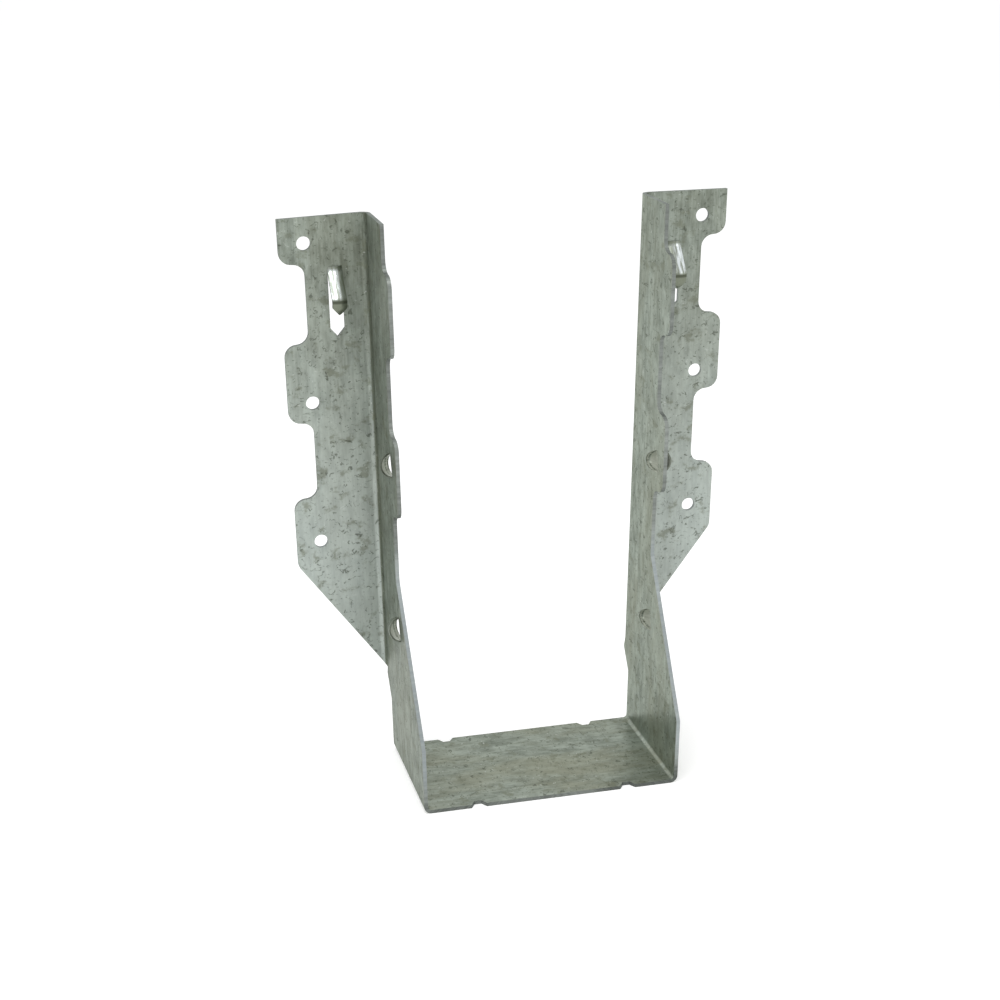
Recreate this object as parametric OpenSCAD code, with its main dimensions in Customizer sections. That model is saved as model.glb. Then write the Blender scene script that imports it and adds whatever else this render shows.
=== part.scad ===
// Face-mount joist hanger, folded from one piece of galvanised steel sheet.
// Origin: middle of the width and depth, on the underside of the seat.
// +Y points to the header beam, +Z up; the joist drops in from above and lies along Y.

/* [Joist pocket] */
// Clear width between the side plates at the seat
joist_w = 79.4; // [60:0.1:120]
// Height from the underside of the seat to the top of the sides
hanger_h = 177.8; // [165:0.1:240]
// Depth from the header face to the front edge of the seat
bearing_d = 50.8; // [48:0.1:70]
// How far the back edge of the seat stands in front of the header face
seat_setback = 6.6; // [4:0.1:10]

/* [Sheet] */
// Thickness of the sheet
sheet_t = 1.2; // [0.9:0.05:1.6]
// Inside radius of the folds between the seat and the side plates
fold_r = 1.2; // [0.8:0.1:2]
// Inside radius of the folds between the side plates and the header flanges
header_fold_r = 2; // [1.6:0.1:3.5]
// Outward lean of each side from plumb, in degrees
splay = 0.999; // [0:0.001:3]

/* [Scalloped edges] */
// Width of a header flange where it is wide, from the side plate's outer face
flange_w = 27.1; // [24:0.1:34]
// Depth of a side plate where it is shallow, from the header face
plate_d = 22.5; // [20:0.1:26]
// How far each scallop steps in or out
scallop_d = 7.7; // [7.6:0.1:9]
// Height of one scallop step above the next
scallop_pitch = 25; // [23:0.1:26]
// Height of the wide stretch of flange at the top
top_lobe_h = 14.1; // [12:0.1:18]
// Corner radius of the scallops
scallop_r = 3.8; // [2:0.1:3.8]
// Height at which the edges start to taper towards the seat
taper_top = 66.3; // [60:0.1:70]
// Height at which the front taper reaches the full depth
taper_front = 21.2; // [15:0.1:26]
// Height at which the flange taper reaches the side plate's outer face
taper_back = 28; // [26:0.1:32]
// Height at which the back edge of a side plate turns down to the seat
back_turn = 18.4; // [16:0.1:20]
// Distance from the header face to the ear that the header fold leaves flat at its lower end
ear_in = 1.6; // [0.5:0.1:2]

/* [Header nail holes] */
// Diameter of a nail hole
nail_hole_d = 4.3; // [3.5:0.1:5]
// Distance from the flange's outer edge to the nail holes' centres
nail_edge = 7.8; // [6:0.1:9]
// Height of the two upper nail holes above the scallop step below them
nail_above_step = 6.2; // [4:0.1:8]
// Height of the lowest nail hole above the start of the taper
nail_above_taper = 7.8; // [5:0.1:12]

/* [Positioning prongs] */
// Width of a prong
prong_w = 4.4; // [3.5:0.1:5]
// Gap on each side between a prong and the slot that it is lanced from
slot_gap = 0.05; // [0.03:0.01:0.2]
// Length of the slot, from the prong's root to the point
slot_len = 21.7; // [20:0.1:22]
// Height of the point at the end of the slot and of the prong
point_h = 2.6; // [1.5:0.1:3]
// Distance from the side plate's outer face to the middle of the slot
slot_in = 10.2; // [8:0.1:12]
// Angle by which the prong leans out of the flange before it turns upright again, in degrees
prong_tilt = 38; // [30:1:50]
// Straight length of the leaning part of the prong
prong_out = 8.8; // [6:0.1:10]
// Inside radius of the bend at the prong's root
prong_root_r = 2.5; // [0.8:0.1:3]
// Inside radius of the bend where the prong turns upright
prong_r = 0.8; // [0.5:0.1:1.2]
// Angle through which the prong's end curls back towards the header, in degrees
prong_curl = 80; // [50:1:85]
// Inside radius of the curled end
curl_r = 3.2; // [2.5:0.1:5]
// How far the prong's rounded face stands out at its middle
prong_camber = 0.45; // [0.2:0.05:0.6]

/* [Nail domes] */
// How far the upper dome on the left side stands below the scallop step above it
dome_below_step = 9.2; // [6:0.1:12]
// Height of the lower dome on the left side
dome_lower = 50.8; // [46:0.1:54]
// How much lower the domes on the right side stand
dome_drop = 6.2; // [0:0.1:7]
// Distance from the header face to the mouth of the upper dome on the left side
dome_upper_in = 23.2; // [21:0.1:25]
// Distance from the header face to the mouth of the upper dome on the right side
dome_right_in = 25; // [21:0.1:27]
// Distance from the header face to the mouth of the lower domes
dome_lower_in = 24.8; // [21:0.1:26]
// Width of a dome's mouth at the plate, outside
dome_w = 7.8; // [7:0.1:9]
// Height of a dome's mouth above the plate, outside
dome_rise = 3.3; // [2.6:0.1:3.6]
// Length of a dome from its mouth to its closed end, outside
dome_len = 11; // [9:0.1:12]
// Thickness of the stretched sheet in a dome
dome_t = 0.5; // [0.4:0.05:0.9]
// Tilt of a dome's mouth from upright, in degrees
dome_tilt = 16; // [0:1:20]

/* [Seat notches] */
// Distance of a notch from the middle of the seat
notch_out = 24; // [15:0.1:28]
// Width of a notch at the edge of the seat
notch_w = 4.9; // [4:0.1:6]
// Width of a notch at its bottom
notch_bottom = 2.2; // [1:0.1:3]
// Depth of a notch
notch_d = 2; // [1:0.1:4]
// How far both pairs of notches stand off the middle of the seat
notch_shift = 0.6; // [0:0.1:2]

/* [Hidden] */
$fn = 96;

// Small overrun that lets a cut pass cleanly through a face
over = 1;
// How far the prong's root laps into the flange above the slot, and how far its edges stand proud
root_lap = 0.2;
root_proud = 0.03;
// Flats along each rounded corner of an outline, and along a dome's curved back
corner_steps = 6;
dome_steps = 8;
// Outside radii of the folds at the seat and at the header flanges
fold_out = fold_r + sheet_t;
header_out = header_fold_r + sheet_t;
// Heights of the scallop steps, from the top one down
step_z = [for (i = [0:3]) hanger_h - top_lobe_h - i * scallop_pitch];
// Flange width and plate depth at the waists, where each gives way to the other
flange_waist = flange_w - scallop_d;
plate_lobe = plate_d + scallop_d;
// Width that the flange's taper loses for each unit of height
taper_slope = flange_w / (taper_top - taper_back);
// Depth that the plate's taper gains for each unit of height
front_slope = (bearing_d - plate_d) / (taper_top - taper_front);
// Centres of the nail holes
nail_in = flange_w - nail_edge;
nail_z = [step_z[0] + nail_above_step, step_z[2] + nail_above_step, taper_top + nail_above_taper];
// The slot lies in the middle of the upper waist
slot_top = (step_z[0] + step_z[1] + slot_len) / 2;
// Height of the upper dome on the left side
dome_upper = step_z[2] - dome_below_step;
// Places of the nail domes on each side: height, and distance of the mouth from the header face
left_domes = [[dome_upper, dome_upper_in], [dome_lower, dome_lower_in]];
right_domes = [[dome_upper - dome_drop, dome_right_in], [dome_lower - dome_drop, dome_lower_in]];
// Radius of a dome's round section, which stands on the plate as high as dome_rise
dome_r = (dome_w * dome_w / 4 + dome_rise * dome_rise) / (2 * dome_rise);
// Radius of the prong's rounded face
camber_r = (prong_w * prong_w / 4 + prong_camber * prong_camber) / (2 * prong_camber);

function xy(p) = [p[0], p[1]];
function unit(v) = v / norm(v);
function turned(v, a) = [v[0] * cos(a) - v[1] * sin(a), v[0] * sin(a) + v[1] * cos(a)];

// Arc of radius r that rounds the corner p between its neighbours a and b
function corner(a, p, b, r) =
    let (u = unit(a - p), v = unit(b - p), half = acos(u * v) / 2)
    let (centre = p + unit(u + v) * r / sin(half), start = p + u * r / tan(half) - centre)
    let (sweep = (180 - 2 * half) * sign(u[1] * v[0] - u[0] * v[1]))
    [for (i = [0:corner_steps]) centre + turned(start, sweep * i / corner_steps)];

// Outline through points [x, y, r], each corner rounded to its own radius r
function rounded(pts) =
    let (n = len(pts))
    [for (i = [0:n - 1])
        each pts[i][2] == 0 ? [xy(pts[i])]
        : corner(xy(pts[(i + n - 1) % n]), xy(pts[i]), xy(pts[(i + 1) % n]), pts[i][2])];

// Scalloped stretch of an edge from bottom to top, stepping between two distances
function scallops(first, second) =
    [for (i = [3:-1:0])
        let (from = i % 2 == 1 ? first : second, to = i % 2 == 1 ? second : first)
        each [[from, step_z[i], scallop_r], [to, step_z[i], scallop_r]]];

// Part of a flat ring between two angles
module ring_sector(r_in, r_out, from, to) {
    far = 2 * r_out;
    intersection() {
        difference() {
            circle(r_out);
            circle(r_in);
        }
        polygon([[0, 0], for (a = [from, (from + to) / 2, to]) far * turned([1, 0], a)]);
    }
}

// Prism that runs along X, from x0 to x1, over an outline in Y and Z
module along_x(x0, x1) {
    translate([x0, 0, 0]) rotate([90, 0, 90]) linear_extrude(x1 - x0) children();
}

// Prism that runs along Y, from y0 to y1, over an outline in X and Z
module along_y(y0, y1) {
    translate([0, y1, 0]) rotate([90, 0, 0]) linear_extrude(y1 - y0) children();
}

// Section of the header fold and flange, seen from above
module flange_section() {
    translate([header_fold_r, -header_out]) ring_sector(header_fold_r, header_out, 90, 180);
    translate([header_fold_r, -sheet_t]) square([flange_w + over - header_fold_r, sheet_t]);
}

// What is cut off outside the tapered and scalloped edge of the flange
module flange_offcut() {
    inner = -sheet_t - over;
    outer = flange_w + 2 * over;
    bottom = fold_out - over;
    polygon(rounded(concat(
        [[inner, bottom, 0], [inner, taper_back + inner / taper_slope, 0],
         [flange_w, taper_top, scallop_r]],
        scallops(flange_w, flange_waist),
        [[flange_w, hanger_h + over, 0], [outer, hanger_h + over, 0], [outer, bottom, 0]])));
}

// What is cut off in front of the side plate, whose edge follows the flange's
module plate_offcut() {
    front = bearing_d + over;
    polygon(rounded(concat(
        [[-front, taper_front - over / front_slope, 0], [-plate_d, taper_top, scallop_r]],
        scallops(-plate_d, -plate_lobe),
        [[-plate_d, hanger_h + over, 0], [-front, hanger_h + over, 0]])));
}

// Height of the taper's edge where it runs on across the side plate, at a depth y
function back_edge(y) = back_turn + (seat_setback + y) / taper_slope;

// Outline of the side plate, with an ear that stays flat under the end of the header fold
module plate_outline() {
    fold_end = taper_back + header_fold_r / taper_slope;
    difference() {
        polygon([[-bearing_d, fold_out], [-seat_setback, fold_out], [-seat_setback, back_turn],
                 [-ear_in, back_edge(-ear_in)], [-header_out, fold_end],
                 [-header_out, hanger_h], [-bearing_d, hanger_h]]);
        plate_offcut();
    }
}

// Outline of width w, and length l below the origin, that ends in a point
module pointed(w, l) {
    polygon([[-w / 2, 0], [-w / 2, point_h - l], [0, -l], [w / 2, point_h - l], [w / 2, 0]]);
}

// Cross-section of the prong: thickness along X, width along Y, face rounded towards -X
module prong_section() {
    intersection() {
        translate([camber_r - prong_camber, 0]) difference() {
            circle(camber_r);
            translate([sheet_t, 0]) circle(camber_r);
        }
        translate([-prong_camber - over, -prong_w / 2]) square([2 * over + sheet_t, prong_w]);
    }
}

// Straight stretch of the prong, of length l below the origin, face towards -Y
module prong_run(l) {
    translate([0, 0, -l]) linear_extrude(l) rotate(90) prong_section();
}

// Bend of the prong towards its face, of inside radius r, with what follows it
module prong_bend_out(r, a) {
    pivot = r + prong_camber;
    translate([0, -pivot, 0]) {
        rotate([0, 90, 0]) rotate(90 - a) rotate_extrude(angle = a)
            translate([pivot, 0]) prong_section();
        rotate([-a, 0, 0]) translate([0, pivot, 0]) children();
    }
}

// Bend of the prong away from its face, of inside radius r, with what follows it
module prong_bend_back(r, a) {
    pivot = r + sheet_t;
    translate([0, pivot, 0]) {
        rotate([0, 90, 0]) rotate(-90) rotate_extrude(angle = a)
            translate([pivot, 0]) mirror([1, 0]) prong_section();
        rotate([a, 0, 0]) translate([0, -pivot, 0]) children();
    }
}

// Prong: leans out from the top of its slot, turns upright, then curls back to the header
module prong() {
    drop = (curl_r + sheet_t) * sin(prong_curl);
    prong_bend_out(prong_root_r, prong_tilt) {
        prong_run(prong_out);
        translate([0, 0, -prong_out]) prong_bend_back(prong_r, prong_tilt) intersection() {
            prong_bend_back(curl_r, prong_curl);
            along_y(-over, drop) pointed(prong_w, drop);
        }
    }
}

// Round nose of radius r that closes over a length l along Y, with its axis in the plate
module dome_nose(r, l) {
    translate([dome_rise - dome_r, 0, 0]) rotate([-90, 0, 0]) rotate_extrude()
        polygon(concat([[0, -over], [r, -over]],
            [for (i = [0:dome_steps])
                let (a = 90 * i / dome_steps)
                [r * cos(a), l * sin(a)]]));
}

// Outside of a nail dome, as far as it stands on the plate's outer face
module dome_shell() {
    intersection() {
        dome_nose(dome_r, dome_len);
        translate([-sheet_t / 2, 0, -dome_w]) cube([2 * dome_rise, dome_len, 2 * dome_w]);
    }
}

// Hollow of a nail dome, which opens through the plate behind the mouth
module dome_hollow() {
    difference() {
        dome_nose(dome_r - dome_t, dome_len - dome_t);
        translate([-2 * dome_w, -2 * over, -dome_w]) cube([2 * dome_w, 2 * over, 2 * dome_w]);
    }
}

// Puts its children at the mouth of each dome in a list of [height, distance from the header]
module at_domes(domes) {
    for (d = domes)
        translate([0, -d[1], d[0]]) rotate([-dome_tilt, 0, 0]) children();
}

// Header nail holes of one flange
module nail_holes() {
    for (z = nail_z)
        translate([nail_in, over, z]) rotate([90, 0, 0]) cylinder(d = nail_hole_d, h = sheet_t + 2 * over);
}

// One side of the hanger, upright, with the side plate's outer face at X = 0
module side(domes) {
    difference() {
        union() {
            along_x(-sheet_t, 0) plate_outline();
            difference() {
                translate([0, 0, fold_out]) linear_extrude(hanger_h - fold_out) flange_section();
                along_y(-header_out, over) flange_offcut();
            }
            at_domes(domes) dome_shell();
        }
        at_domes(domes) dome_hollow();
        nail_holes();
        along_y(-sheet_t - over, over) translate([slot_in, slot_top])
            pointed(prong_w + 2 * slot_gap, slot_len);
    }
    translate([slot_in, -sheet_t - root_proud, slot_top + root_lap]) prong();
}

// Fold between the seat and a side, with the side leaning out by the splay
module side_on_fold(domes) {
    translate([joist_w / 2 - fold_r, 0, fold_out]) {
        along_y(-bearing_d, -seat_setback) ring_sector(fold_r, fold_out, -90, -splay);
        rotate([0, splay, 0]) translate([fold_out, 0, -fold_out]) side(domes);
    }
}

// Notch in an edge of the seat that runs along X
module notch() {
    polygon([[-notch_w / 2, -over], [-notch_w / 2, 0], [-notch_bottom / 2, notch_d],
             [notch_bottom / 2, notch_d], [notch_w / 2, 0], [notch_w / 2, -over]]);
}

// Flat seat that carries the joist
module seat() {
    half = joist_w / 2 - fold_r;
    linear_extrude(sheet_t) difference() {
        translate([-half, -bearing_d]) square([2 * half, bearing_d - seat_setback]);
        for (x = [notch_shift - notch_out, notch_shift + notch_out]) {
            translate([x, -bearing_d]) notch();
            translate([x, -seat_setback]) mirror([0, 1]) notch();
        }
    }
}

// The whole hanger: the left side mirrors the right one, apart from the places of its domes
module hanger() {
    color([0.62, 0.65, 0.62]) translate([0, bearing_d / 2, 0]) {
        seat();
        side_on_fold(right_domes);
        mirror([1, 0, 0]) side_on_fold(left_domes);
    }
}

hanger();
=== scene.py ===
# %% [markdown]
# # A galvanised joist hanger
# A joist hanger is one strip of zinc-coated steel, folded into a U that carries the end of a joist,
# with two scalloped flanges that are nailed to the header beam. Its exact shape comes from the
# imported CAD model, which is loaded first and stays where it is. This lesson gives it the look of
# real sheet: soft edges, a rolled grain, the faint crystals of the zinc, handling marks, and the
# bright metal of the freshly bent prongs, along with painted light and painted shade on the
# flanges, folds, edges and prongs.

# %% Load the imported model
import math
from functools import partial

import bmesh
import bpy
import numpy as np
from mathutils import Matrix, Vector
from mathutils.bvhtree import BVHTree


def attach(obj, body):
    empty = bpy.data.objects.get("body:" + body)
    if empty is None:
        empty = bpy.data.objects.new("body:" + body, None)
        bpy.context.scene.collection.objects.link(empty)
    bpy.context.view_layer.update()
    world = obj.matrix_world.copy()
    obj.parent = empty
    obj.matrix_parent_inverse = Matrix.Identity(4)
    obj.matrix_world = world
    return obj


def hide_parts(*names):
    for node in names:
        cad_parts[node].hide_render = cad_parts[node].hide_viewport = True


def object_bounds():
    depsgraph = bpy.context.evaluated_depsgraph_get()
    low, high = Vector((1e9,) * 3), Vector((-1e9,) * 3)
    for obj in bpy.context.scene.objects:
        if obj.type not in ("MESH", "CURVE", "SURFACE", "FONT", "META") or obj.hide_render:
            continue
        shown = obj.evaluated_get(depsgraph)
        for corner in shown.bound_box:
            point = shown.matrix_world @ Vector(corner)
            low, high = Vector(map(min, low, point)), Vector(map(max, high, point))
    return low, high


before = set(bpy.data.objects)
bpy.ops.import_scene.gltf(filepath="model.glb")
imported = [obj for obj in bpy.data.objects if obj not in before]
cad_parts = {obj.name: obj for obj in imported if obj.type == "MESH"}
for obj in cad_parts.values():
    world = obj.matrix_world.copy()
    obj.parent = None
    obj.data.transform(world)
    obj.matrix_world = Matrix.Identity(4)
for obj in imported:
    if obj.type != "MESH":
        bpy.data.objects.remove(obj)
cad_low, cad_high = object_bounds()
MM = 0.001
print("CAD box in mm:", [round(v / MM, 1) for v in (*cad_low, *cad_high)])

# %% [markdown]
# The camera stands a little to the left of the hanger and above it, about half a metre away, and
# is held very slightly off level. Its aim is worked out from its bearing, so that it can be read
# and changed: azimuth turns it to the right of straight ahead, elevation is how far above the
# object it stands, and roll tips the picture. The lens is a short telephoto. A small shift slides
# the picture sideways without turning the camera, so that the upright lines keep their lean.

# %% Aim the camera
CAMERA_AZIMUTH = math.radians(10.04)
CAMERA_ELEVATION = math.radians(19.274)
CAMERA_ROLL = math.radians(-2.107)
CAMERA_DISTANCE = 522.87 * MM
AIMED_AT = Vector((-56.26 * MM, 5.4 * MM, 98.67 * MM))
LENS_MM = 61.98
SHIFT = (0.1544, -0.0156)
CLIP_START = 10 * MM


def aimed_camera():
    """A camera CAMERA_DISTANCE from AIMED_AT, turned by its azimuth, elevation and then roll."""
    az, el = CAMERA_AZIMUTH, CAMERA_ELEVATION
    ahead = Vector((math.sin(az) * math.cos(el), math.cos(az) * math.cos(el), -math.sin(el)))
    right = Vector((math.cos(az), -math.sin(az), 0))
    down = ahead.cross(right)
    c, s = math.cos(CAMERA_ROLL), math.sin(CAMERA_ROLL)
    axes = (c * right - s * down, -(s * right + c * down), -ahead)
    camera = bpy.data.objects.new("camera", bpy.data.cameras.new("camera"))
    turn = Matrix(axes).transposed().to_4x4()
    camera.matrix_world = Matrix.Translation(AIMED_AT - CAMERA_DISTANCE * ahead) @ turn
    camera.data.lens = LENS_MM
    camera.data.shift_x, camera.data.shift_y = SHIFT
    camera.data.clip_start = CLIP_START
    bpy.context.collection.objects.link(camera)
    return camera


bpy.context.scene.camera = aimed_camera()
stands_at = bpy.context.scene.camera.matrix_world.translation
print("Camera at, in mm:", [round(v / MM, 1) for v in stands_at])

# %% [markdown]
# The hanger stands in a white studio. The world is white wherever a camera ray or a reflected ray
# meets it, so the metal mirrors the same studio that the picture shows, and it is a little dimmer
# for the light that falls on dull surfaces. A Light Path node tells these rays apart.

# %% Make a white world
WHITE = (1, 1, 1, 1)
STUDIO_LIGHT = 0.75


def seen_directly(nodes, links):
    """1 for camera, mirror and transmission rays, and 0 for light that falls on dull surfaces."""
    path = nodes.new("ShaderNodeLightPath")
    seen = path.outputs["Is Camera Ray"]
    for ray in ("Is Glossy Ray", "Is Transmission Ray"):
        either = nodes.new("ShaderNodeMath")
        either.operation = "MAXIMUM"
        links.new(seen, either.inputs[0])
        links.new(path.outputs[ray], either.inputs[1])
        seen = either.outputs[0]
    return seen


def white_world():
    """White where it is seen, and STUDIO_LIGHT where it only lights."""
    world = bpy.data.worlds.new("studio")
    world.use_nodes = True
    nodes, links = world.node_tree.nodes, world.node_tree.links
    strength = nodes.new("ShaderNodeMapRange")
    strength.inputs["To Min"].default_value = STUDIO_LIGHT
    strength.inputs["To Max"].default_value = 1.0
    links.new(seen_directly(nodes, links), strength.inputs["Value"])
    background = nodes["Background"]
    background.inputs["Color"].default_value = WHITE
    links.new(strength.outputs["Result"], background.inputs["Strength"])
    return world


bpy.context.scene.world = white_world()
bpy.context.scene.view_settings.view_transform = "Standard"
print("World: white where seen,", STUDIO_LIGHT, "as light")

# %% [markdown]
# The floor is plain pale card that keeps the soft shadow under the seat. A shadow needs a surface
# to fall on, and card alone would look grey against the white world. So the card also glows
# faintly wherever it is seen, which lifts it to white and leaves the shadow on it.

# %% Lay a floor of white card
FLOOR_WHITE = (0.86, 0.86, 0.86, 1)
FLOOR_ROUGHNESS = 0.9
FLOOR_GLOW = 0.36
FLOOR_SIZE = 12.0


def white_card():
    """Matt white card that glows by FLOOR_GLOW where it is seen."""
    material = bpy.data.materials.new("white_card")
    material.use_nodes = True
    nodes, links = material.node_tree.nodes, material.node_tree.links
    shader = nodes["Principled BSDF"]
    shader.inputs["Base Color"].default_value = FLOOR_WHITE
    shader.inputs["Roughness"].default_value = FLOOR_ROUGHNESS
    shader.inputs["Specular IOR Level"].default_value = 0.0
    shader.inputs["Emission Color"].default_value = WHITE
    glow = nodes.new("ShaderNodeMath")
    glow.operation = "MULTIPLY"
    glow.inputs[1].default_value = FLOOR_GLOW
    links.new(seen_directly(nodes, links), glow.inputs[0])
    links.new(glow.outputs[0], shader.inputs["Emission Strength"])
    return material


def pale_floor():
    """A square of white card at z = 0, FLOOR_SIZE along each side."""
    half = FLOOR_SIZE / 2
    mesh = bpy.data.meshes.new("floor")
    corners = [(-half, -half, 0), (half, -half, 0), (half, half, 0), (-half, half, 0)]
    mesh.from_pydata(corners, [], [(0, 1, 2, 3)])
    mesh.materials.append(white_card())
    floor = bpy.data.objects.new("floor", mesh)
    bpy.context.collection.objects.link(floor)
    return floor


pale_floor()
print("Floor:", FLOOR_SIZE, "m wide")

# %% [markdown]
# Polished and half-polished metal shows its surroundings more than the lamps themselves. So the
# main lamp hangs close above the hanger: it brightens the card in front of it, and the flanges,
# which mirror that card, grow lighter towards the bottom. A second lamp, far off to the right,
# softens the shadow.

# %% Hang two soft lamps
KEY_LAMP = {"place": (-0.25, -0.2, 0.85), "size": 0.6, "power": 3}
FILL_LAMP = {"place": (1.1, -0.9, 0.9), "size": 1.0, "power": 2}


def soft_lamp(name, place, size, power):
    """A square area lamp at place that faces the middle of the hanger. Power is in watts."""
    light = bpy.data.lights.new(name, "AREA")
    light.size = size
    light.energy = power
    lamp = bpy.data.objects.new(name, light)
    middle = (cad_low + cad_high) / 2
    lamp.location = place
    lamp.rotation_mode = "QUATERNION"
    lamp.rotation_quaternion = (middle - Vector(place)).to_track_quat("-Z", "Y")
    bpy.context.collection.objects.link(lamp)
    return lamp


lamps = [soft_lamp("key_lamp", **KEY_LAMP), soft_lamp("fill_lamp", **FILL_LAMP)]
print("Lamps:", [lamp.name for lamp in lamps])

# %% [markdown]
# A sheet has two kinds of surface. The skin is zinc, rolled with the steel. The narrow faces where
# the punch and the shear cut through show bare bright steel. The prongs are bent out of the flange
# and lie in front of it, and bending has burnished them; painted highlight and painted shade lie
# over that burnish. The nail domes stand out from the side plates: their lips are bruised and
# painted in shade, and their insides are drawn thin and pale. All of these can be told by where
# they stand, so the few sizes that place them come first.

# %% Sizes of the folded strip
CLEAR_WIDTH = 79.4 * MM
SHEET = 1.2 * MM
SPLAY = math.radians(0.999)
PLATE_FACE = 0.05 * MM
FLANGE_FRONT = cad_high.y - SHEET
PRONG_OUT = 10.2 * MM
PRONG_WIDTH = 4.4 * MM
PRONG_REACH = 0.6 * PRONG_WIDTH
PRONG_ROOT_HEIGHT = 163 * MM
PRONG_TIP_HEIGHT = 147 * MM
PRONG_CLEAR = 0.02 * MM
DOME_HEIGHT = 3.3 * MM
DOME_REACH = 1.1 * DOME_HEIGHT
DOME_CLEAR = 6 * MM


def out_of_plate(co):
    """Distance outside the outer face of the side plate at each point: |x| less the face's own."""
    return np.abs(co[:, 0]) - (CLEAR_WIDTH / 2 + SHEET) - co[:, 2] * math.tan(SPLAY)


def on_prong(centres):
    """True for each point in front of the flange within the width and the height of a prong."""
    beside = np.abs(out_of_plate(centres) - PRONG_OUT) < PRONG_REACH
    level = (centres[:, 2] > PRONG_TIP_HEIGHT) & (centres[:, 2] < PRONG_ROOT_HEIGHT)
    return beside & level & (centres[:, 1] < FLANGE_FRONT - PRONG_CLEAR)


def beside_plate(centres, nearest, farthest):
    """True for each point from nearest to farthest out of a side plate, clear of the fold."""
    out = out_of_plate(centres)
    clear = centres[:, 1] < FLANGE_FRONT - DOME_CLEAR
    return (out > nearest) & (out <= farthest) & clear


print("Strip:", CLEAR_WIDTH / MM, "mm clear width,", SHEET / MM, "mm sheet")

# %% [markdown]
# Cut faces are told from the skin by thickness. Straight in from the skin the other skin is one
# sheet away, while behind a sheared face there is far more metal, so one ray goes in from the
# middle of each small CAD triangle. The walls of a dome's hollow are cut faces too, and a second
# ray tells them: it runs forwards and meets the metal in front of the hollow. The CAD mesh is
# loose triangles, so a copy is welded first, and the copy stands for the CAD node from here on.

# %% Weld a copy of the sheet and sort its faces
SKIN, SHEARED, PRONG, ROUNDED, DOME_INSIDE = range(5)
WELD = 0.002 * MM
THROUGH_THE_SHEET = 1.5 * SHEET
FORWARD = Vector((0, -1, 0))
TOWARDS_PLATE = 0.02
OUT_OF_MOUTH = 0.3


def looks_back(centres, normals):
    """True for each face that looks towards its side plate, or forwards out of a dome's mouth."""
    towards_plate = np.sign(centres[:, 0]) * normals[:, 0] < -TOWARDS_PLATE
    return towards_plate | (normals[:, 1] < -OUT_OF_MOUTH)


def sort_faces(bm):
    """Sets each face's material from where it stands, what is behind it and what is ahead."""
    tree = BVHTree.FromBMesh(bm)
    middles = np.array([f.calc_center_median() for f in bm.faces])
    normals = np.array([f.normal for f in bm.faces])
    cut = np.array([tree.ray_cast(Vector(at), Vector(-n), THROUGH_THE_SHEET)[0] is None
                    for at, n in zip(middles - WELD * normals, normals)])
    ahead = np.array([tree.ray_cast(Vector(at), FORWARD)[0] is not None
                      for at in middles + WELD * normals])
    in_plate = beside_plate(middles, -SHEET, PLATE_FACE)
    on_dome = beside_plate(middles, PLATE_FACE, DOME_REACH)
    use = np.where(cut, SHEARED, np.where(on_prong(middles), PRONG, SKIN))
    use = np.where(in_plate & cut & ahead, DOME_INSIDE, use)
    use = np.where(on_dome & cut, ROUNDED, use)
    use = np.where(on_dome & ~cut & looks_back(middles, normals), DOME_INSIDE, use)
    for face, slot in zip(bm.faces, use.tolist()):
        face.material_index = slot
    return np.bincount(use, minlength=DOME_INSIDE + 1)


cad_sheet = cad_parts["hanger"]
sheet = bmesh.new()
sheet.from_mesh(cad_sheet.data)
bmesh.ops.remove_doubles(sheet, verts=sheet.verts, dist=WELD)
counts = sort_faces(sheet)
print("Faces of skin, sheared steel, prong, rounded edge and dome inside:", counts.tolist())

# %% [markdown]
# Sheared sheet never has a perfectly sharp edge: the punch rolls it over by a tenth of a
# millimetre, and the zinc there is bruised. A bevel makes that edge, with a material of its own,
# which is bruised zinc painted dark with shade as well. It needs clean edges to run along, so the
# flat faces are joined up again first.

# %% Round its edges
FLAT_ANGLE = math.radians(0.4)
SHARP_ANGLE = math.radians(35)
EDGE_ROUNDING = 0.13 * MM
ROUNDING_STEPS = 2
ROUNDING_SHAPE = 0.6


def round_edges(bm):
    """Joins coplanar faces, then bevels each edge where the surface turns past SHARP_ANGLE."""
    bmesh.ops.dissolve_limit(bm, angle_limit=FLAT_ANGLE, verts=bm.verts, edges=bm.edges,
                             delimit={"MATERIAL"})
    sharp = [e for e in bm.edges if e.is_manifold and e.calc_face_angle() > SHARP_ANGLE]
    bmesh.ops.bevel(bm, geom=sharp, offset=EDGE_ROUNDING, offset_type="OFFSET",
                    segments=ROUNDING_STEPS, profile=ROUNDING_SHAPE, affect="EDGES",
                    clamp_overlap=True, material=ROUNDED)
    bmesh.ops.triangulate(bm, faces=[f for f in bm.faces if len(f.verts) > 4])
    return len(sharp)


rounded = round_edges(sheet)
open_edges = sum(not e.is_manifold for e in sheet.edges)
print("Sheet:", len(sheet.faces), "faces,", rounded, "rounded edges,", open_edges, "open edges")

# %% [markdown]
# The grain of rolled sheet follows the strip through every fold. So each corner of the mesh is
# given its place on the flat strip, before it was folded, as a UV map in metres. Along the strip,
# u runs out over the seat and then up the sides. Across the strip, v is the depth on the seat and
# the side plates, and goes on outwards over the flange. On a prong and inside a dome v is only how
# far out of the side plate it is, so the scratches of a prong run along it. The two skins had
# different marks, so the outer one reads its pattern from a stretch further along.

# %% Map the unfolded strip
OUTER_SKIN_SHIFT = 0.9


def mesh_values(items, name, kind, width=1):
    """One attribute of a mesh's vertices, corners or faces as an array, width numbers to each."""
    values = np.empty(len(items) * width, kind)
    items.foreach_get(name, values)
    return values.reshape(-1, width) if width > 1 else values


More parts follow.
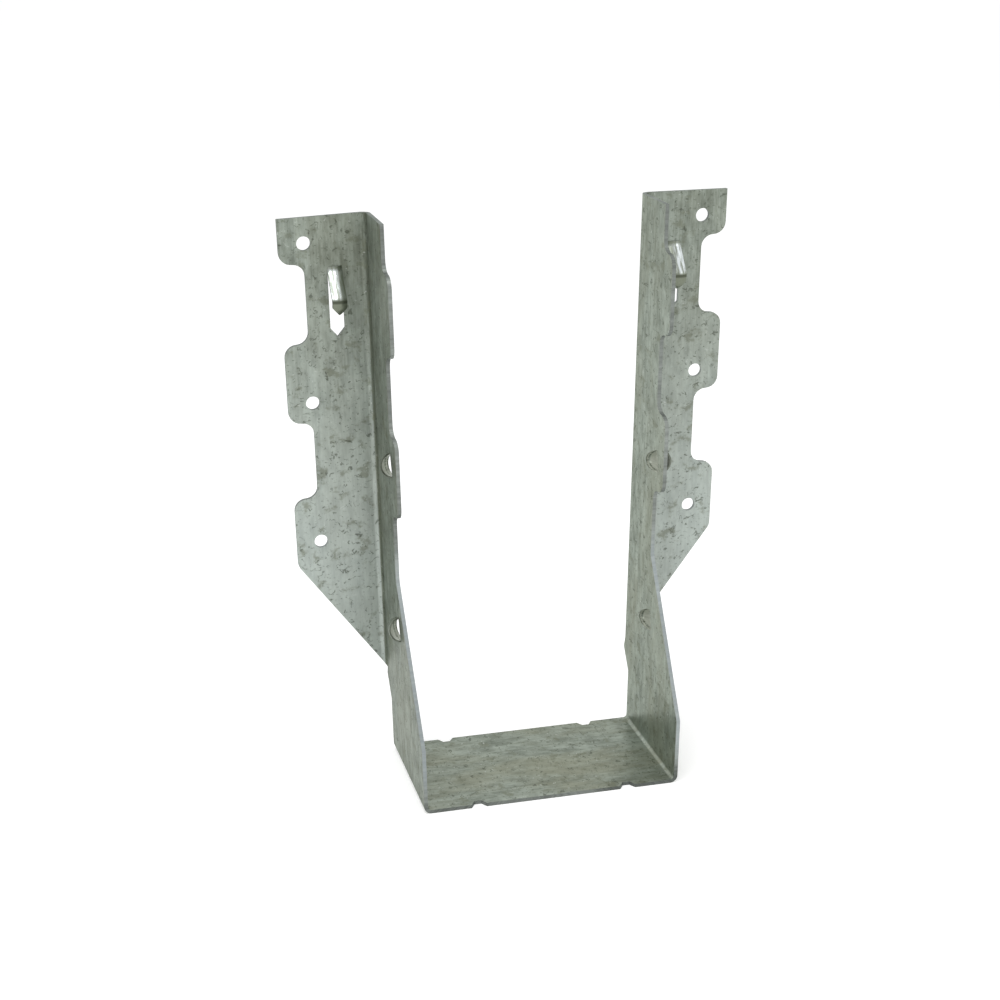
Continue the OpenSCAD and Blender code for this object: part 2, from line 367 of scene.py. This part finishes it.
def unfolded(mesh):
    """Writes the UV map "strip": u = sign(x) (min(|x|, half width) + z), v = y + out of plate."""
    corner = mesh_values(mesh.loops, "vertex_index", int)
    co = mesh_values(mesh.vertices, "co", float, 3)[corner]
    sides = mesh_values(mesh.polygons, "loop_total", int)
    normal = np.repeat(mesh_values(mesh.polygons, "normal", float, 3), sides, axis=0)
    use = np.repeat(mesh_values(mesh.polygons, "material_index", int), sides)
    bent = np.isin(use, (PRONG, DOME_INSIDE))
    side = np.sign(co[:, 0])
    outer = normal[:, 0] * side - normal[:, 1] - normal[:, 2] > 0
    u = side * (np.minimum(np.abs(co[:, 0]), CLEAR_WIDTH / 2) + co[:, 2])
    v = np.where(bent, 0, co[:, 1]) + np.maximum(out_of_plate(co), 0)
    layer = mesh.uv_layers.new(name="strip")
    layer.data.foreach_set("uv", np.stack([u + OUTER_SKIN_SHIFT * outer, v], 1).ravel())
    return u.min(), u.max()


mesh = bpy.data.meshes.new("hanger_sheet")
sheet.to_mesh(mesh)
sheet.free()
print("Strip runs from and to, in mm:", [round(float(e) / MM, 1) for e in unfolded(mesh)])

# %% [markdown]
# Smooth shading would make the large flat faces look pillowy near their rounded edges. Weighted
# normals stop that: each corner takes its direction mostly from the largest face that meets there.

# %% Put the sheet in the scene
FLAT_FACE_WEIGHT = 80
hanger = bpy.data.objects.new("hanger_sheet", mesh)
bpy.context.collection.objects.link(hanger)
mesh.shade_smooth()
weighted = hanger.modifiers.new("flat_faces_stay_flat", "WEIGHTED_NORMAL")
weighted.mode = "FACE_AREA"
weighted.weight = FLAT_FACE_WEIGHT
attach(hanger, "root")
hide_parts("hanger")
print("Piece:", hanger.name)

# %% [markdown]
# Four effects make up the zinc, and each is a node group, so that the skin, the sheared steel and
# the prongs can share them. A group is a small shader tree with named inputs, so a few helpers
# write the trees as plain expressions.

# %% Helpers for node groups
VECTOR = ("NodeSocketVector", None)
GROUPS = {}


def number(value):
    """A number socket of a group, with its value."""
    return ("NodeSocketFloat", value)


def node_group(name, output, **inputs):
    """An empty shader group with a number as output. Inputs are label=(socket type, value)."""
    group = bpy.data.node_groups.new(name, "ShaderNodeTree")
    for label, (kind, value) in inputs.items():
        socket = group.interface.new_socket(label, in_out="INPUT", socket_type=kind)
        if value is not None:
            socket.default_value = value
    group.interface.new_socket(output, in_out="OUTPUT", socket_type="NodeSocketFloat")
    GROUPS[name] = group
    given = group.nodes.new("NodeGroupInput").outputs
    return group, given, group.nodes.new("NodeGroupOutput").inputs[output]


def plug(tree, value, socket):
    """Links value to socket if it is an output, and otherwise sets the socket to it."""
    if isinstance(value, bpy.types.NodeSocket):
        tree.links.new(value, socket)
    else:
        socket.default_value = value


def maths(tree, operation, *values):
    """One Math node, with its inputs plugged in order."""
    node = tree.nodes.new("ShaderNodeMath")
    node.operation = operation
    for value, socket in zip(values, node.inputs):
        plug(tree, value, socket)
    return node.outputs[0]


def stretched(tree, vector, along, across):
    """The vector with its u times along and its v times across."""
    parts = tree.nodes.new("ShaderNodeSeparateXYZ")
    plug(tree, vector, parts.inputs[0])
    joined = tree.nodes.new("ShaderNodeCombineXYZ")
    plug(tree, maths(tree, "MULTIPLY", parts.outputs["X"], along), joined.inputs["X"])
    plug(tree, maths(tree, "MULTIPLY", parts.outputs["Y"], across), joined.inputs["Y"])
    return joined.outputs[0]


def noise(tree, vector, scale, detail=2.0, roughness=0.5, distortion=0.0):
    """A noise value of about 0.5, with features about 1 / scale across."""
    node = tree.nodes.new("ShaderNodeTexNoise")
    plug(tree, vector, node.inputs["Vector"])
    plug(tree, scale, node.inputs["Scale"])
    node.inputs["Detail"].default_value = detail
    node.inputs["Roughness"].default_value = roughness
    node.inputs["Distortion"].default_value = distortion
    return node.outputs["Fac"]


def ramp(tree, value, low, high, to_low=0.0, to_high=1.0):
    """The value carried smoothly from low..high to to_low..to_high."""
    node = tree.nodes.new("ShaderNodeMapRange")
    node.interpolation_type = "SMOOTHSTEP"
    settings = {"Value": value, "From Min": low, "From Max": high, "To Min": to_low,
                "To Max": to_high}
    for label, given in settings.items():
        plug(tree, given, node.inputs[label])
    return node.outputs["Result"]


print("Helpers:", [f.__name__ for f in (node_group, plug, maths, stretched, noise, ramp)])

# %% [markdown]
# Rolling leaves fine streaks along the strip. Noise whose coordinates are stretched far more
# across than along is drawn out into just such streaks.

# %% Rolled grain
def rolled_grain():
    """Streaks: noise of the strip's coordinates, with Length and Fineness streaks per metre."""
    group, given, made = node_group("rolled_grain", "Grain", Strip=VECTOR, Length=number(70.0),
                                    Fineness=number(1500.0))
    vector = stretched(group, given["Strip"], given["Length"], given["Fineness"])
    plug(group, noise(group, vector, 1.0, detail=3.0, roughness=0.6), made)


rolled_grain()
print("Groups:", sorted(GROUPS))

# %% [markdown]
# Zinc freezes into crystals, each with its own shade. Cells of a Voronoi texture do the same, and
# smoothing their borders keeps them as faint as they are on this thin coat.

# %% Zinc crystals
BORDER_SMOOTHING = 0.35


def zinc_crystals():
    """Cells of random shade, Size of them per metre, drawn out along the strip by Stretch."""
    group, given, made = node_group("zinc_crystals", "Crystal", Strip=VECTOR,
                                    Size=number(260.0), Stretch=number(0.55))
    cells = group.nodes.new("ShaderNodeTexVoronoi")
    cells.feature = "SMOOTH_F1"
    cells.inputs["Smoothness"].default_value = BORDER_SMOOTHING
    plug(group, given["Size"], cells.inputs["Scale"])
    plug(group, stretched(group, given["Strip"], given["Stretch"], 1.0), cells.inputs["Vector"])
    shade = group.nodes.new("ShaderNodeSeparateColor")
    plug(group, cells.outputs["Color"], shade.inputs[0])
    plug(group, shade.outputs[0], made)


zinc_crystals()
print("Groups:", sorted(GROUPS))

# %% [markdown]
# Handling leaves short dark crooked marks. A noise crosses its middle value along thin crooked
# lines, and a second, finer noise keeps only a few short stretches of them.

# %% Dark strokes
NOISE_MIDDLE = 0.5
CROOKEDNESS = 0.9
THINNING_STRETCH = (1.3, 0.9)
THINNING_FINENESS = 1.5
THINNING_SOFTNESS = 0.05


def dark_strokes():
    """1 where a noise is within Width of its middle and a finer noise is over Rarity."""
    group, given, made = node_group("dark_strokes", "Strokes", Strip=VECTOR, Size=number(420.0),
                                    Width=number(0.04), Rarity=number(0.56))
    lines = noise(group, given["Strip"], given["Size"], detail=2.0, distortion=CROOKEDNESS)
    off_middle = maths(group, "ABSOLUTE", maths(group, "SUBTRACT", lines, NOISE_MIDDLE))
    near = ramp(group, off_middle, 0.0, given["Width"], 1.0, 0.0)
    shifted = stretched(group, given["Strip"], *THINNING_STRETCH)
    finer = maths(group, "MULTIPLY", given["Size"], THINNING_FINENESS)
    spare = noise(group, shifted, finer, detail=1.0)
    kept_from = maths(group, "ADD", given["Rarity"], THINNING_SOFTNESS)
    kept = ramp(group, spare, given["Rarity"], kept_from)
    plug(group, maths(group, "MULTIPLY", near, kept), made)


dark_strokes()
print("Groups:", sorted(GROUPS))

# %% [markdown]
# The coat also varies in broad soft drifts of tone. They are plain noise with several layers of
# detail, and two limits say how much of it counts, so one group serves for drifts and for spots.

# %% Drifting clouds
def drifting_clouds():
    """Drifts from Low to High of a noise, Size per metre across and Size times Stretch along."""
    group, given, made = node_group("drifting_clouds", "Cloud", Strip=VECTOR, Size=number(70.0),
                                    Stretch=number(0.5), Low=number(0.3), High=number(0.7))
    vector = stretched(group, given["Strip"], given["Stretch"], 1.0)
    drift = noise(group, vector, given["Size"], detail=4.0, roughness=0.65)
    plug(group, ramp(group, drift, given["Low"], given["High"]), made)


drifting_clouds()
print("Groups:", sorted(GROUPS))

# %% [markdown]
# The materials are all metals of the Principled shader. At a shallow angle clean metal turns into
# a mirror, but a thin grey film on it scatters that light. The specular tint sets the shallow
# reflection, so a darker tint holds it down. Each material reads the four effects at its own size.

# %% Helpers for the materials
def metal(name, metallic, use, shallow):
    """A metal that fills slot number use. Shallow is the colour it mirrors at a shallow angle."""
    material = bpy.data.materials.new(name)
    material.use_nodes = True
    shader = material.node_tree.nodes["Principled BSDF"]
    shader.inputs["Metallic"].default_value = metallic
    shader.inputs["Specular Tint"].default_value = shallow
    while len(mesh.materials) <= use:
        mesh.materials.append(None)
    mesh.materials[use] = material
    return material.node_tree, shader.inputs


def strip_place(tree):
    """The place on the unfolded strip, from the UV map."""
    node = tree.nodes.new("ShaderNodeUVMap")
    node.uv_map = "strip"
    return node.outputs["UV"]


def strip_parts(tree, strip):
    """Distance up the strip from the seat's middle on the inner and outer skin, and across it."""
    place = tree.nodes.new("ShaderNodeSeparateXYZ")
    plug(tree, strip, place.inputs[0])
    shifted_back = maths(tree, "SUBTRACT", place.outputs["X"], OUTER_SKIN_SHIFT)
    inner = maths(tree, "ABSOLUTE", place.outputs["X"])
    return inner, maths(tree, "ABSOLUTE", shifted_back), place.outputs["Y"]


def object_height(tree):
    """The height above the underside of the seat, from the object's own coordinates."""
    place = tree.nodes.new("ShaderNodeTexCoord")
    parts = tree.nodes.new("ShaderNodeSeparateXYZ")
    plug(tree, place.outputs["Object"], parts.inputs[0])
    return parts.outputs["Z"]


def effect(tree, name, strip, **values):
    """One of the four effects, with its own values, as a number that varies over the surface."""
    node = tree.nodes.new("ShaderNodeGroup")
    node.node_tree = GROUPS[name]
    plug(tree, strip, node.inputs["Strip"])
    for label, value in values.items():
        node.inputs[label].default_value = value
    return node.outputs[0]


def mixed(tree, middle, *parts):
    """Middle plus weight times (value - 1/2) for each part, which is a (value, weight)."""
    total = middle
    for value, weight in parts:
        off = maths(tree, "MULTIPLY_ADD", value, weight, -0.5 * weight)
        total = maths(tree, "ADD", total, off)
    return total


def strongest(tree, *parts):
    """The largest of each value times its weight. Parts are (value, weight)."""
    top = 0.0
    for value, weight in parts:
        top = maths(tree, "MAXIMUM", top, maths(tree, "MULTIPLY", value, weight))
    return top


def blend(tree, factor, first, second):
    """The colour that goes from first to second as the factor goes from 0 to 1."""
    node = tree.nodes.new("ShaderNodeMix")
    node.data_type = "RGBA"
    plug(tree, factor, node.inputs["Factor"])
    plug(tree, first, node.inputs["A"])
    plug(tree, second, node.inputs["B"])
    return node.outputs["Result"]


def relief(tree, height, depth, shader):
    """A bump of that depth in metres into the shader's normal."""
    bump = tree.nodes.new("ShaderNodeBump")
    bump.inputs["Strength"].default_value = 1.0
    bump.inputs["Distance"].default_value = depth
    plug(tree, height, bump.inputs["Height"])
    plug(tree, bump.outputs["Normal"], shader["Normal"])


print("Helpers:", [f.__name__ for f in (metal, strip_parts, effect, mixed, strongest, blend)])

# %% [markdown]
# The skin changes from place to place on the strip. The flanges are painted paler and cooler
# towards the seat as painted light, and painted shade darkens the zinc along the fold at each
# flange, which also dulls it because the roughness follows the tone. Both are found from the
# strip's own coordinates, as masks from 0 to 1.

# %% Find the flanges and their folds
HALF_SEAT = CLEAR_WIDTH / 2
FOLD_INNER = 2 * MM
FLANGE_MOST_LIT, FLANGE_LEAST_LIT = HALF_SEAT + 55 * MM, HALF_SEAT + 185 * MM
FLANGE_STARTS = (FLANGE_FRONT - 0.5 * MM, FLANGE_FRONT + 0.5 * MM)
FOLD_STARTS = (FLANGE_FRONT - 1.4 * FOLD_INNER, FLANGE_FRONT - 0.6 * FOLD_INNER)
FOLD_ENDS = (FLANGE_FRONT + 0.3 * FOLD_INNER, FLANGE_FRONT + 1.1 * FOLD_INNER)


def flange_light_and_fold_shade(tree, outer, across):
    """1 on the flanges; painted light, 1 low on a flange and 0 at its top; painted shade, 1 along
    the fold at its edge.
    """
    # Painted light: a flange is made paler low down and darker at its top.
    low = ramp(tree, outer, FLANGE_MOST_LIT, FLANGE_LEAST_LIT, 1.0, 0.0)
    on_flange = ramp(tree, across, *FLANGE_STARTS)
    into = ramp(tree, across, *FOLD_STARTS)
    out_of = ramp(tree, across, *FOLD_ENDS, 1.0, 0.0)
    painted_light_low = maths(tree, "MULTIPLY", on_flange, low)
    return on_flange, painted_light_low, maths(tree, "MULTIPLY", into, out_of)


print("Folds from and to, in mm:", [round(e / MM, 1) for e in (FOLD_STARTS[0], FOLD_ENDS[1])])

# %% [markdown]
# The skin is dull zinc over steel: part bare metal, and part film. Its tone is a sum of the
# effects, each with a weight, with painted light low on the flanges and painted shade along their
# folds, and the tone picks a colour between deep and pale zinc. Warm drifts, a painted cool light
# low on the flanges, smudges, marks and scratches are then laid over it one by one.

# %% Tone and colour of the zinc
ZINC_PALE = (0.49, 0.547, 0.48, 1)
ZINC_DEEP = (0.113, 0.131, 0.102, 1)
ZINC_WARM = (0.25, 0.254, 0.18, 1)
PAINTED_COOL_LIGHT = (0.47, 0.52, 0.525, 1)
SMUDGE = (0.16, 0.17, 0.11, 1)
# Dark handling marks, and also painted shade in the dome crowns and the prong creases.
DARK_MARK_AND_SHADE = (0.06, 0.068, 0.046, 1)
SCRATCH = (0.62, 0.66, 0.62, 1)
MIDDLE_TONE = 0.62
FOLD_SHADE_HIGH, FOLD_SHADE_LOW = 0.3, 0.12
WARMTH_SEAT, WARMTH_SIDES, WARMTH_LOST_OUTSIDE = 0.65, 0.45, 0.2
PAINTED_COOL_LIGHT_SHARE, SMUDGE_SHARE, SCRATCH_SHARE = 0.4, 0.5, 0.5
SEAT_FOLD = 5 * MM


def skin_effects(tree, strip):
    """The skin's drifts, grains and strokes by name, each a number that varies over it."""
    clouds = partial(effect, tree, "drifting_clouds", strip)
    strokes = partial(effect, tree, "dark_strokes", strip)
    return {
        "cloud": clouds(Size=75.0),
        "mottle": clouds(Size=430.0, Stretch=0.4, Low=0.36, High=0.64),
        "warm": clouds(Size=45.0, Stretch=0.3, Low=0.4, High=0.66),
        "smudge": clouds(Size=150.0, Stretch=1.2, Low=0.54, High=0.67),
        "speck": clouds(Size=560.0, Stretch=1.2, Low=0.6, High=0.7),
        "crystal": effect(tree, "zinc_crystals", strip),
        "grain": effect(tree, "rolled_grain", strip),
        "streaks": effect(tree, "rolled_grain", strip, Length=30.0, Fineness=420.0),
        "marks": strokes(Size=260.0, Rarity=0.56),
        "fine_marks": strokes(Size=520.0, Rarity=0.6, Width=0.05),
        "scratches": strokes(Size=340.0, Rarity=0.64, Width=0.03),
    }


def skin_tone(tree, seen, outside, on_flange, low, fold):
    """MIDDLE_TONE plus each effect's share, with painted light low on a flange, less painted shade
    along the outer fold.
    """
    outer_flange = maths(tree, "MULTIPLY", on_flange, outside)
    # Painted light: the weight on the low mask makes the low part of each flange paler.
    tone = mixed(tree, MIDDLE_TONE, (low, 0.41), (outside, -0.19), (outer_flange, 0.16),
                 (seen["cloud"], 0.18), (seen["mottle"], 0.26), (seen["crystal"], 0.2),
                 (seen["grain"], 0.6), (seen["streaks"], 0.25))
    # Painted shade: the outer fold is darkened, more at the top of the flange than low down.
    outer_fold = maths(tree, "MULTIPLY", fold, outside)
    share = ramp(tree, low, 0.0, 1.0, FOLD_SHADE_HIGH, FOLD_SHADE_LOW)
    return maths(tree, "SUBTRACT", tone, maths(tree, "MULTIPLY", outer_fold, share))


def skin_colour(tree, seen, tone, outside, inner, low, dark):
    """Deep to pale zinc by tone, with each further colour laid over it by its own factor."""
    warmth = ramp(tree, inner, HALF_SEAT, HALF_SEAT + SEAT_FOLD, WARMTH_SEAT, WARMTH_SIDES)
    warmth = maths(tree, "MULTIPLY_ADD", outside, -WARMTH_LOST_OUTSIDE, warmth)
    layers = (
        (maths(tree, "MULTIPLY", seen["warm"], warmth), ZINC_WARM),
        # Painted light: a cool pale colour is laid over the low part of each flange.
        (maths(tree, "MULTIPLY", low, PAINTED_COOL_LIGHT_SHARE), PAINTED_COOL_LIGHT),
        (maths(tree, "MULTIPLY", seen["smudge"], SMUDGE_SHARE), SMUDGE),
        (dark, DARK_MARK_AND_SHADE),
        (maths(tree, "MULTIPLY", seen["scratches"], SCRATCH_SHARE), SCRATCH),
    )
    colour = blend(tree, tone, ZINC_DEEP, ZINC_PALE)
    for factor, over in layers:
        colour = blend(tree, factor, colour, over)
    return colour


print("Zinc from", ZINC_DEEP[:3], "to", ZINC_PALE[:3])

# %% [markdown]
# Colour, roughness and a very slight relief all come from the same effects, so that a mark which
# is darker is also duller. The outer skin is the duller of the two. The inner one is still smooth
# enough for the seat and the side plates to mirror each other faintly near the folds.

# %% Zinc skin
ZINC_SHALLOW = (0.56, 0.605, 0.555, 1)
SKIN_METALLIC, METALLIC_LOST_OUTSIDE = 0.62, 0.22
SKIN_ROUGH, SKIN_SMOOTH = 0.36, 0.28
ROUGHER_OUTSIDE, ROUGHER_MARKS = 0.07, 0.15
DULL_TONE, BRIGHT_TONE = 0.2, 0.9
FINE_RELIEF = 0.004 * MM


def zinc_skin():
    """Zinc in its own tone and colour, rougher where it is deep, marked or outside."""
    tree, shader = metal("zinc_skin", SKIN_METALLIC, SKIN, ZINC_SHALLOW)
    strip = strip_place(tree)
    inner, outer, across = strip_parts(tree, strip)
    outside = maths(tree, "LESS_THAN", outer, OUTER_SKIN_SHIFT / 2)
    on_flange, low, fold = flange_light_and_fold_shade(tree, outer, across)
    seen = skin_effects(tree, strip)
    dark = strongest(tree, (seen["marks"], 0.7), (seen["fine_marks"], 0.55),
                     (seen["speck"], 0.55), (seen["smudge"], 0.1))
    tone = skin_tone(tree, seen, outside, on_flange, low, fold)
    plug(tree, skin_colour(tree, seen, tone, outside, inner, low, dark), shader["Base Color"])
    metallic = maths(tree, "MULTIPLY_ADD", outside, -METALLIC_LOST_OUTSIDE, SKIN_METALLIC)
    plug(tree, metallic, shader["Metallic"])
    rough = ramp(tree, tone, DULL_TONE, BRIGHT_TONE, SKIN_ROUGH, SKIN_SMOOTH)
    rough = maths(tree, "MULTIPLY_ADD", outside, ROUGHER_OUTSIDE, rough)
    plug(tree, maths(tree, "MULTIPLY_ADD", dark, ROUGHER_MARKS, rough), shader["Roughness"])
    height = mixed(tree, 0.5, (seen["grain"], 1.0), (seen["crystal"], 0.4))
    relief(tree, maths(tree, "SUBTRACT", height, dark), FINE_RELIEF, shader)


zinc_skin()
print("Material:", mesh.materials[SKIN].name)

# %% [markdown]
# A sheared face is torn steel: coarse marks run across the cut. The slanting edges above the seat
# face the light, so they are painted cool and pale as painted light, and the seat's own edges are
# painted dark as painted shade. The height above the seat's underside decides between them.

# %% Sheared steel
SHEARED_PALE = (0.43, 0.465, 0.435, 1)
SHEARED_LIT_COOL = (0.5, 0.57, 0.62, 1)
SHEARED_DEEP = (0.1, 0.11, 0.1, 1)
SHEARED_SHALLOW = (0.6, 0.64, 0.62, 1)
SHEARED_METALLIC = 0.75
SHEARED_ROUGH, SHEARED_SMOOTH = 0.45, 0.33
SHEARED_TONE, LIT_EDGE_SHARE = 0.33, 0.3
SEAT_EDGE_ENDS = (2 * MM, 9 * MM)
SLANT_STARTS = (4 * MM, 16 * MM)
SLANT_ENDS = (62 * MM, 80 * MM)
TEAR_RELIEF = 0.01 * MM


def sheared_steel():
    """Grey steel with marks across the cut, with cool pale painted light on the slanting edges over
    the seat and painted shade on the seat's own edges.
    """
    tree, shader = metal("sheared_steel", SHEARED_METALLIC, SHEARED, SHEARED_SHALLOW)
    strip = strip_place(tree)
    tears = effect(tree, "rolled_grain", strip, Length=900.0, Fineness=900.0)
    rubbed = effect(tree, "drifting_clouds", strip, Size=60.0, Low=0.42, High=0.7)
    height = object_height(tree)
    slanting = maths(tree, "MULTIPLY", ramp(tree, height, *SLANT_STARTS),
                     ramp(tree, height, *SLANT_ENDS, 1.0, 0.0))
    above = ramp(tree, height, *SEAT_EDGE_ENDS)
    # Painted shade darkens the seat's own edges, and painted light lifts the slanting edges.
    tone = mixed(tree, SHEARED_TONE, (tears, 0.7), (rubbed, 0.3), (above, 0.25), (slanting, 0.1))
    colour = blend(tree, tone, SHEARED_DEEP, SHEARED_PALE)
    # Painted light: the slanting edges take a cool pale colour.
    cool = maths(tree, "MULTIPLY", slanting, LIT_EDGE_SHARE)
    plug(tree, blend(tree, cool, colour, SHEARED_LIT_COOL), shader["Base Color"])
    rough = ramp(tree, tone, DULL_TONE, BRIGHT_TONE, SHEARED_ROUGH, SHEARED_SMOOTH)
    plug(tree, rough, shader["Roughness"])
    relief(tree, tears, TEAR_RELIEF, shader)


sheared_steel()
print("Material:", mesh.materials[SHEARED].name)

# %% [markdown]
# The rounded edges and the domes' lips are where the zinc was bruised, and their colour is also
# painted shade, the dark line along a rolled-over edge and in the gap at a dome's lip, so they are
# the darkest and dullest metal of all. They are too narrow for any pattern but a drift along their
# length.

# %% Rounded edges
BRUISED_SHADED_PALE = (0.22, 0.24, 0.2, 1)
BRUISED_SHADED_DEEP = (0.06, 0.068, 0.05, 1)
BRUISED_METALLIC = 0.6
BRUISED_ROUGH, BRUISED_SMOOTH = 0.5, 0.36


def bruised_shaded_edge():
    """Dark dull zinc along each rounded edge, bruised and painted in shade, lighter where it has
    been rubbed.
    """
    tree, shader = metal("bruised_shaded_edge", BRUISED_METALLIC, ROUNDED, ZINC_SHALLOW)
    rubbed = effect(tree, "drifting_clouds", strip_place(tree), Size=300.0)
    # Painted shade: the edge colour runs between two very dark zincs.
    plug(tree, blend(tree, rubbed, BRUISED_SHADED_DEEP, BRUISED_SHADED_PALE), shader["Base Color"])
    rough = ramp(tree, rubbed, 0.0, 1.0, BRUISED_ROUGH, BRUISED_SMOOTH)
    plug(tree, rough, shader["Roughness"])


bruised_shaded_edge()
print("Material:", mesh.materials[ROUNDED].name)

# %% [markdown]
# Each nail dome is sheet drawn out into a half-round shell that guides a nail. Its stretched
# inside is pale and almost without shine near the plate. Hardly any light reaches the crown, so
# the colour goes dark there by its distance out of the plate.

# %% Insides of the nail domes
DRAWN_PALE = (0.54, 0.565, 0.49, 1)
DRAWN_DEEP = (0.43, 0.455, 0.385, 1)
DRAWN_METALLIC = 0.2
DRAWN_ROUGH, DRAWN_SMOOTH = 0.42, 0.32
CROWN_STARTS = (1.5 * MM, 2.2 * MM)
CROWN_DARKNESS = 0.95


def drawn_dome():
    """Thin pale zinc with streaks, which grows dark from halfway out of the plate to the crown."""
    tree, shader = metal("drawn_dome", DRAWN_METALLIC, DOME_INSIDE, ZINC_SHALLOW)
    strip = strip_place(tree)
    streaks = effect(tree, "rolled_grain", strip, Length=900.0, Fineness=500.0)
    crown = ramp(tree, strip_parts(tree, strip)[2], *CROWN_STARTS)
    colour = blend(tree, ramp(tree, streaks, 0.35, 0.65), DRAWN_DEEP, DRAWN_PALE)
    dark = maths(tree, "MULTIPLY", crown, CROWN_DARKNESS)
    # Painted shade: the crown is blended towards the dark mark colour.
    plug(tree, blend(tree, dark, colour, DARK_MARK_AND_SHADE), shader["Base Color"])
    rough = ramp(tree, streaks, 0.3, 0.7, DRAWN_ROUGH, DRAWN_SMOOTH)
    plug(tree, rough, shader["Roughness"])
    relief(tree, streaks, FINE_RELIEF, shader)


drawn_dome()
print("Material:", mesh.materials[DOME_INSIDE].name)

# %% [markdown]
# The prongs were bent last, and the tool that bent them rubbed their faces bright. Over that
# burnish, a painted highlight makes the shine strongest on the outer two thirds of a face, which
# faces the light, and painted shade fades it at the root bend. It stops at the curl, where the
# metal turns down and painted shade darkens a crease across it, and below the curl the zinc is dull
# and painted in shade.

# %% Burnished prongs, with painted highlight and shade
BURNISHED_HIGHLIGHT = (0.72, 0.77, 0.78, 1)
BURNISHED_SHALLOW = (0.8, 0.85, 0.85, 1)
PRONG_DULL_SHADED = (0.19, 0.21, 0.16, 1)
PRONG_METALLIC = 0.9
PRONG_ROUGH, PRONG_SMOOTH = 0.36, 0.2
PRONG_CURL_HEIGHT = 152.6 * MM
CREASE_HEIGHT = PRONG_CURL_HEIGHT - 0.4 * MM
CREASE_FADES = (0.2 * MM, 0.7 * MM)
CREASE_DARKNESS = 0.75
SHINE_STARTS = (PRONG_CURL_HEIGHT - 0.2 * MM, PRONG_CURL_HEIGHT + 1.2 * MM)
SHINE_ENDS = (PRONG_ROOT_HEIGHT - 2.4 * MM, PRONG_ROOT_HEIGHT - 1.4 * MM)
SHINE_ACROSS = (PRONG_OUT - 1.3 * MM, PRONG_OUT + 0.3 * MM)
ROOT_SHINE, INNER_SHINE, STREAK_SHINE = 0.15, 0.2, 0.15
PRONG_RELIEF = 0.006 * MM


def burnished_lit_prong():
    """Bright above the curl, most on its outer two thirds as a painted highlight, and dull and
    painted in shade below, with painted shade in a crease.
    """
    tree, shader = metal("burnished_lit_prong", PRONG_METALLIC, PRONG, BURNISHED_SHALLOW)
    strip = strip_place(tree)
    across = strip_parts(tree, strip)[2]
    height = object_height(tree)
    streaks = effect(tree, "rolled_grain", strip, Length=170.0, Fineness=1300.0)
    # Painted shade: the shine stops below the curl, where the prong faces down.
    above = ramp(tree, height, *SHINE_STARTS)
    # Painted shade: the shine fades at the root bend.
    root = ramp(tree, height, *SHINE_ENDS, 1.0, ROOT_SHINE)
    # Painted highlight: the outer two thirds of a face, which face the light, are the brightest.
    outer = ramp(tree, across, *SHINE_ACROSS, INNER_SHINE, 1.0)
    # The mask rubbed is partly burnishing and partly painted highlight and shade.
    rubbed = maths(tree, "MULTIPLY", maths(tree, "MULTIPLY", above, root), outer)
    streaked = ramp(tree, streaks, 0.4, 0.58, STREAK_SHINE, 1.0)
    bright = maths(tree, "MULTIPLY", rubbed, streaked)
    # Painted shade: a dark crease across the curl.
    off_crease = maths(tree, "ABSOLUTE", maths(tree, "SUBTRACT", height, CREASE_HEIGHT))
    crease = ramp(tree, off_crease, *CREASE_FADES, CREASE_DARKNESS, 0.0)
    colour = blend(tree, bright, PRONG_DULL_SHADED, BURNISHED_HIGHLIGHT)
    plug(tree, blend(tree, crease, colour, DARK_MARK_AND_SHADE), shader["Base Color"])
    rough = ramp(tree, bright, 0.0, 1.0, PRONG_ROUGH, PRONG_SMOOTH)
    plug(tree, rough, shader["Roughness"])
    relief(tree, streaks, PRONG_RELIEF, shader)


burnished_lit_prong()
print("Materials:", [m.name for m in mesh.materials])
